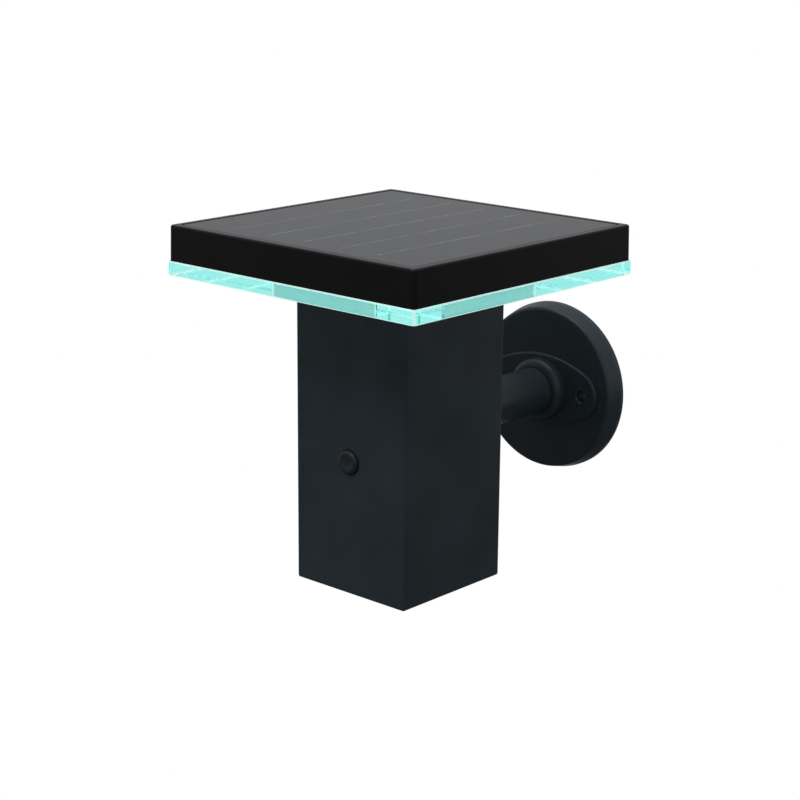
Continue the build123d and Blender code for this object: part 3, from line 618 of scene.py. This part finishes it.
def make_room(studio):
    """The grey room that the lamp reflects, white where it is seen directly."""
    world = bpy.data.worlds.new("studio_room")
    bpy.context.scene.world = world
    world.use_nodes = True
    world.node_tree.nodes.clear()
    nodes = Nodes(world.node_tree)
    direction = nodes.add("ShaderNodeTexCoord").outputs["Generated"]
    height = nodes.add("ShaderNodeSeparateXYZ", {"Vector": direction}).outputs["Z"]
    level = nodes.ramp(height, *ROOM_CHANGE, ROOM_LOW_SHARE * studio.surround, studio.surround,
                       "SMOOTHSTEP")
    room = nodes.add("ShaderNodeBackground", {"Strength": level})
    white = nodes.add("ShaderNodeBackground", {"Color": WHITE, "Strength": 1.0})
    nodes.add("ShaderNodeOutputWorld", {"Surface": white_if_seen(nodes, room, white)})


def make_floor(studio):
    """A wide plain floor: white where it is seen, and in reflections paler towards the back."""
    bpy.ops.object.select_all(action="DESELECT")
    bpy.ops.mesh.primitive_plane_add(size=FLOOR_SIZE, location=(0.0, 0.0, -studio.drop))
    floor = bpy.context.object
    floor.name = "studio_floor"
    material = bpy.data.materials.new("pale_floor")
    material.use_nodes = True
    material.node_tree.nodes.clear()
    nodes = Nodes(material.node_tree)
    way_back = nodes.add("ShaderNodeVectorMath", {
        0: nodes.object_coordinates(), 1: FLOOR_WAY_BACK}, operation="DOT_PRODUCT")
    pale = nodes.ramp(way_back.outputs["Value"], *FLOOR_CHANGE, 0.0, 1.0, "SMOOTHSTEP")
    paint = nodes.add("ShaderNodeBsdfDiffuse", {
        "Color": nodes.mix(pale, FLOOR_NEAR_TONE, FLOOR_FAR_TONE)})
    white = nodes.add("ShaderNodeEmission", {"Color": WHITE, "Strength": 1.0})
    nodes.add("ShaderNodeOutputMaterial", {"Surface": white_if_seen(nodes, paint, white)})
    floor.data.materials.append(material)


def soft_light(name, place, size, power):
    """A square soft light that looks at the lamp."""
    bpy.ops.object.select_all(action="DESELECT")
    bpy.ops.object.light_add(type="AREA", location=place)
    light = bpy.context.object
    light.name = name
    light.data.shape = "SQUARE"
    light.data.size = size
    light.data.energy = power
    light.rotation_euler = (LAMP_MIDDLE - place).to_track_quat("-Z", "Y").to_euler()
    light.visible_camera = False


def make_camera(studio):
    """The camera where the photograph was taken from."""
    bpy.ops.object.camera_add()
    camera = bpy.context.object
    camera.name = "photo_camera"
    turn = Matrix((CAMERA_RIGHT, CAMERA_UP, CAMERA_BACK)).transposed().to_4x4()
    camera.matrix_world = Matrix.Translation(CAMERA_PLACE) @ turn
    camera.data.lens = studio.lens
    camera.data.sensor_width = SENSOR_WIDTH
    camera.data.clip_start = NEAREST_VIEW
    bpy.context.scene.camera = camera


# ---------------------------------------------------------------- operators
class FENCELIGHT_OT_finishes(bpy.types.Operator):
    """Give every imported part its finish"""

    bl_idname = "fencelight.finishes"
    bl_label = "Finishes"

    def execute(self, context):
        for material, names in packed_finishes(context.scene.fl_coat):
            for name in names:
                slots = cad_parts[name].data.materials
                slots.clear()
                slots.append(material)
        return {"FINISHED"}


class FENCELIGHT_OT_light_plate(bpy.types.Operator):
    """Model the glass plate under the head"""

    bl_idname = "fencelight.light_plate"
    bl_label = "Light plate"

    def execute(self, context):
        make_light_plate(context.scene.fl_plate)
        return {"FINISHED"}


class FENCELIGHT_OT_panel(bpy.types.Operator):
    """Model the solar panel"""

    bl_idname = "fencelight.panel"
    bl_label = "Solar panel"

    def execute(self, context):
        make_panel(context.scene.fl_coat, context.scene.fl_panel)
        return {"FINISHED"}


class FENCELIGHT_OT_stage(bpy.types.Operator):
    """Set up room, floor, lights and camera"""

    bl_idname = "fencelight.stage"
    bl_label = "Studio"

    def execute(self, context):
        scene = context.scene
        studio = scene.fl_studio
        scene.view_settings.view_transform = "Standard"
        scene.cycles.max_bounces = ALL_BOUNCES
        scene.cycles.glossy_bounces = GLASS_BOUNCES
        scene.cycles.transmission_bounces = GLASS_BOUNCES
        make_room(studio)
        make_floor(studio)
        soft_light("top_light", TOP_LIGHT_PLACE, TOP_LIGHT_SIZE, studio.top_light)
        soft_light("front_light", FRONT_LIGHT_PLACE, FRONT_LIGHT_SIZE, studio.front_light)
        make_camera(studio)
        return {"FINISHED"}


class FENCELIGHT_PT_sidebar(bpy.types.Panel):
    """Fence light"""

    bl_idname = "FENCELIGHT_PT_sidebar"
    bl_label = "Fence light"
    bl_space_type = "VIEW_3D"
    bl_region_type = "UI"
    bl_category = "Fence light"

    def draw(self, context):
        for key, kind in SETTINGS.items():
            box = self.layout.box()
            for name in kind.__annotations__:
                box.prop(getattr(context.scene, key), name)
        for operator in OPERATORS:
            self.layout.operator(operator.bl_idname)


OPERATORS = (FENCELIGHT_OT_finishes, FENCELIGHT_OT_light_plate, FENCELIGHT_OT_panel,
             FENCELIGHT_OT_stage)
CLASSES = (*SETTINGS.values(), *OPERATORS, FENCELIGHT_PT_sidebar)


def register():
    """Adds the settings, the operators and the sidebar."""
    for kind in CLASSES:
        bpy.utils.register_class(kind)
    for key, kind in SETTINGS.items():
        setattr(bpy.types.Scene, key, bpy.props.PointerProperty(type=kind))


def unregister():
    """Takes them away again."""
    for key in SETTINGS:
        delattr(bpy.types.Scene, key)
    for kind in reversed(CLASSES):
        bpy.utils.unregister_class(kind)


def main():
    """Dresses the lamp piece by piece."""
    register()
    bpy.ops.fencelight.finishes()
    bpy.ops.fencelight.light_plate()
    bpy.ops.fencelight.panel()
    bpy.ops.fencelight.stage()


if __name__ == "__main__":
    main()
